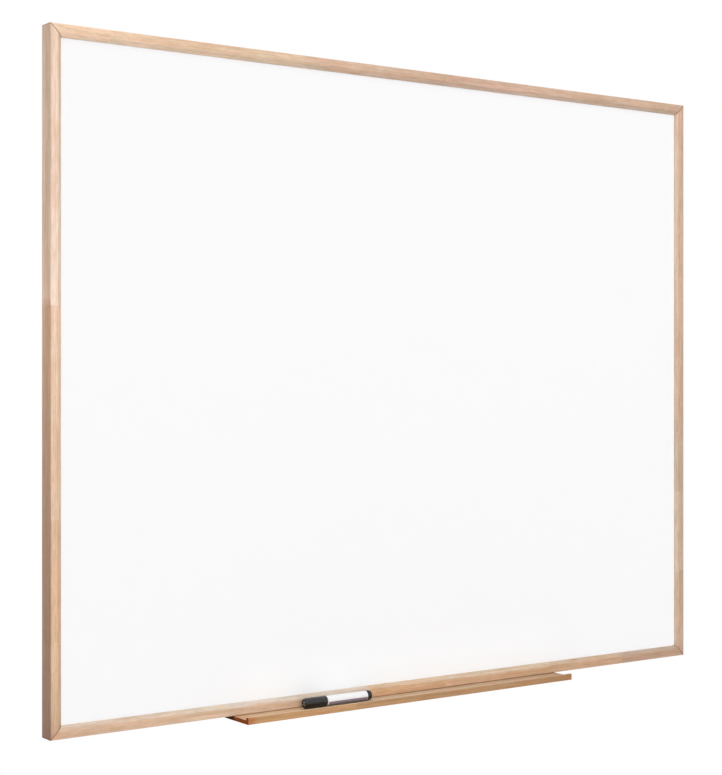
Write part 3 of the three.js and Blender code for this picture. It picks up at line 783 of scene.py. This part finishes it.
def along_marker(node_name):
    """Where a part of the marker begins and ends, and its radius."""
    low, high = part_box(node_name)
    return low.x - axis_start.x, high.x - axis_start.x, (high.z - low.z) / 2


def turned_mesh(profile, closed=False):
    mesh = bmesh.new()
    corners = [mesh.verts.new(axis_start + Vector((along, 0, radius))) for along, radius, _ in profile]
    for first, second in zip(corners, corners[1:] + corners[:1] if closed else corners[1:]):
        mesh.edges.new((first, second))
    for corner, (_, _, rounding) in zip(corners, profile):
        if rounding:
            bmesh.ops.bevel(mesh, geom=[corner], offset=rounding, offset_type="OFFSET", segments=5,
                            profile=0.5, affect="VERTICES", material=-1)
    bmesh.ops.spin(mesh, geom=mesh.verts[:] + mesh.edges[:], cent=axis_start, axis=(1, 0, 0),
                   angle=2 * math.pi, steps=MARKER_STEPS, use_merge=True)
    bmesh.ops.remove_doubles(mesh, verts=mesh.verts, dist=1e-7)
    return mesh


def moulded(name, color, roughness, grain=2600.0, bump=0.25, specular=0.5):
    """A moulded plastic with the fine matt grain of its mould, worn a little smoother in places."""
    material, tree = new_material(name)
    place = object_place(tree)
    worn = clouds(tree, place, 120.0, 3.0)
    surface(tree, {"Base Color": color,
                   "Roughness": ramp(tree, worn, 0.3, 0.7, roughness - 0.04, roughness + 0.05),
                   "Specular IOR Level": specular,
                   "Normal": bumps(tree, clouds(tree, place, grain, 2.0), bump, 0.00003)})
    return material


cap_plastic = moulded("cap_plastic", (0.005, 0.0055, 0.0055, 1), 0.29, specular=0.62)
barrel_plastic = moulded("barrel_plastic", (0.84, 0.84, 0.855, 1), 0.3)
liner_plastic = moulded("liner_plastic", (0.92, 0.92, 0.91, 1), 0.5)
ink_fibre = moulded("inked_fibre", (0.012, 0.012, 0.016, 1), 0.9, grain=1500.0, bump=0.9, specular=0.2)

# The nib: a rod of pressed fibre with a rounded tip
TIP_ROUND = 0.0022
start, end, radius = along_marker("marker_nib")
piece("nib_fine", turned_mesh([
    (start, 0, 0), (start, radius, TIP_ROUND), (end, radius, 0.0002), (end, 0, 0)]),
    ink_fibre, "marker", ["marker_nib"])

# The nose: a tip that grips the nib, a cone, a body that the cap slides over, a flange and a spigot
NIB_CLEARANCE = 0.0002
TIP_RADIUS = 0.0034
TIP_LENGTH = 0.008
CONE_END = 0.015
BODY_INSET = 0.0015      # from the cap's outside
FLANGE_THICKNESS = 0.001
start, end, radius = along_marker("marker_nose")
flange = along_marker("marker_barrel")[0] - SEAT_GAP
body_radius = cap_radius - BODY_INSET
bore = along_marker("marker_nib")[2] + NIB_CLEARANCE
piece("nose_fine", turned_mesh([
    (start, bore, 0.0002), (start, TIP_RADIUS, 0.0005), (start + TIP_LENGTH, TIP_RADIUS, 0.001),
    (start + CONE_END, body_radius, 0.0012), (flange - FLANGE_THICKNESS, body_radius, 0.0001),
    (flange - FLANGE_THICKNESS, radius, 0.0002), (flange, radius, 0.0002), (flange, SPIGOT_RADIUS, 0),
    (end, SPIGOT_RADIUS, 0.0003), (end, bore, 0)], closed=True),
    barrel_plastic, "marker", ["marker_nose"])

# The reservoir: a wad of inked fibre in the barrel
start, end, radius = along_marker("ink_reservoir")
piece("reservoir_fine", turned_mesh([
    (start, 0, 0), (start, radius, 0.0006), (end, radius, 0.0006), (end, 0, 0)]),
    ink_fibre, "marker", ["ink_reservoir"])

# The barrel: an open tube with a plain film round it. The film's lower side is a plain mauve-grey band,
# which ends in a sharp line along the barrel.
BARREL_WALL = 0.001
FILM_THICKNESS = 0.00008
FILM_INSET = 0.0006
FILM_WHITE = (0.87, 0.87, 0.885, 1)
BAND_TOP = -0.0007       # from the marker's axis
BAND_EASE = 0.0002
film_plastic = moulded("label_film", FILM_WHITE, 0.2, grain=400.0, bump=0.06)
tree = film_plastic.node_tree
height = axes(tree, object_place(tree))[2]
band_top = axis_start.z + BAND_TOP
band = ramp(tree, height, band_top + BAND_EASE, band_top - BAND_EASE)
banded = mixed(tree, band, FILM_WHITE, linear(136, 130, 144))
tree.links.new(banded, tree.nodes["Principled BSDF"].inputs["Base Color"])

start, end, radius = along_marker("marker_barrel")
inside = radius - BARREL_WALL
skin = radius - FILM_THICKNESS
piece("barrel_fine", turned_mesh([
    (start, inside, 0), (start, skin, 0.0002), (end, skin, 0.0002), (end, inside, 0)], closed=True),
    barrel_plastic, "marker", ["marker_barrel"])
piece("label_film", turned_mesh([
    (start + FILM_INSET, skin, 0), (start + FILM_INSET, radius, FILM_THICKNESS / 2),
    (end - FILM_INSET, radius, FILM_THICKNESS / 2), (end - FILM_INSET, skin, 0)], closed=True),
    film_plastic, "marker")

# The plug: a spigot in the barrel, a shoulder with a shallow groove behind it, and a rounded end
GROOVE_PLACE = 0.0012    # behind the shoulder
GROOVE_WIDTH = 0.0005
GROOVE_DEPTH = 0.0002
PLUG_ROUND = 0.0018
start, end, radius = along_marker("marker_end_plug")
shoulder = along_marker("marker_barrel")[1] + SEAT_GAP
groove = shoulder + GROOVE_PLACE
piece("plug_fine", turned_mesh([
    (start, 0, 0), (start, SPIGOT_RADIUS, 0.0004), (shoulder, SPIGOT_RADIUS, 0), (shoulder, radius, 0.0002),
    (groove, radius, 0.0001), (groove, radius - GROOVE_DEPTH, 0),
    (groove + GROOVE_WIDTH, radius - GROOVE_DEPTH, 0), (groove + GROOVE_WIDTH, radius, 0.0001),
    (end, radius, PLUG_ROUND), (end, 0, 0)]), cap_plastic, "marker", ["marker_end_plug"])

# The liner: a thin cup that keeps the nib wet, with a low boss that shows through the cap's vents
LINER_BOSS = 0.0015
BOSS_RADIUS = 0.0034
LINER_WALL = 0.0009
start, end, radius = along_marker("cap_liner")
piece("liner_fine", turned_mesh([
    (start - LINER_BOSS, 0, 0), (start - LINER_BOSS, BOSS_RADIUS, 0.0002), (start, BOSS_RADIUS, 0),
    (start, radius, 0.0006), (end, radius, 0.0003), (end, radius - LINER_WALL, 0.0003),
    (start + LINER_WALL, radius - LINER_WALL, 0.0004), (start + LINER_WALL, 0, 0)]),
    liner_plastic, "cap", ["cap_liner"])

# The cap: a tube that narrows a little to its closed end, where four vents pierce a sunken disc
CAP_TAPER = 0.0002
CAP_WALL = 0.0011
CAP_END_ROUND = 0.0031
SUNKEN_RADIUS = 0.0037
SUNKEN_DEPTH = 0.0005
SUNKEN_WALL = 0.0014
DISC_WALL = 0.00035
VENT_INNER = 0.0012
VENT_OUTER = 0.0034
VENT_HALF = 0.0010
VENTS = 4
cap_mesh = turned_mesh([
    (SUNKEN_DEPTH + SUNKEN_WALL, SUNKEN_RADIUS, 0), (0, SUNKEN_RADIUS, 0.00015),
    (0, cap_radius - CAP_TAPER, CAP_END_ROUND), (cap_length, cap_radius, 0.00025),
    (cap_length, cap_radius - CAP_WALL, 0.0002), (SUNKEN_DEPTH + SUNKEN_WALL, cap_radius - CAP_WALL, 0.0004)],
    closed=True)
disc = bmesh.new()
bmesh.ops.create_circle(disc, segments=MARKER_STEPS, radius=SUNKEN_RADIUS)
outline = disc.edges[:]
vent = ((VENT_INNER, -VENT_HALF), (VENT_OUTER, -VENT_HALF), (VENT_OUTER, VENT_HALF), (VENT_INNER, VENT_HALF))
for turn in range(VENTS):
    angle = (turn + 0.5) * 2 * math.pi / VENTS
    corners = [disc.verts.new((x * math.cos(angle) - y * math.sin(angle),
                               x * math.sin(angle) + y * math.cos(angle), 0)) for x, y in vent]
    outline += [disc.edges.new((corners[index - 1], corners[index])) for index in range(len(vent))]
bmesh.ops.triangle_fill(disc, use_beauty=True, edges=outline)
back = bmesh.ops.extrude_face_region(disc, geom=disc.faces[:])["geom"]
bmesh.ops.translate(disc, verts=[part for part in back if isinstance(part, bmesh.types.BMVert)],
                    vec=(0, 0, DISC_WALL))
for vert in disc.verts:
    vert.co = axis_start + Vector((SUNKEN_DEPTH + vert.co.z, vert.co.x, vert.co.y))
disc_data = bpy.data.meshes.new("cap_disc")
disc.to_mesh(disc_data)
disc.free()
cap_mesh.from_mesh(disc_data)
bpy.data.meshes.remove(disc_data)
piece("cap_fine", cap_mesh, cap_plastic, "cap", ["marker_cap"])
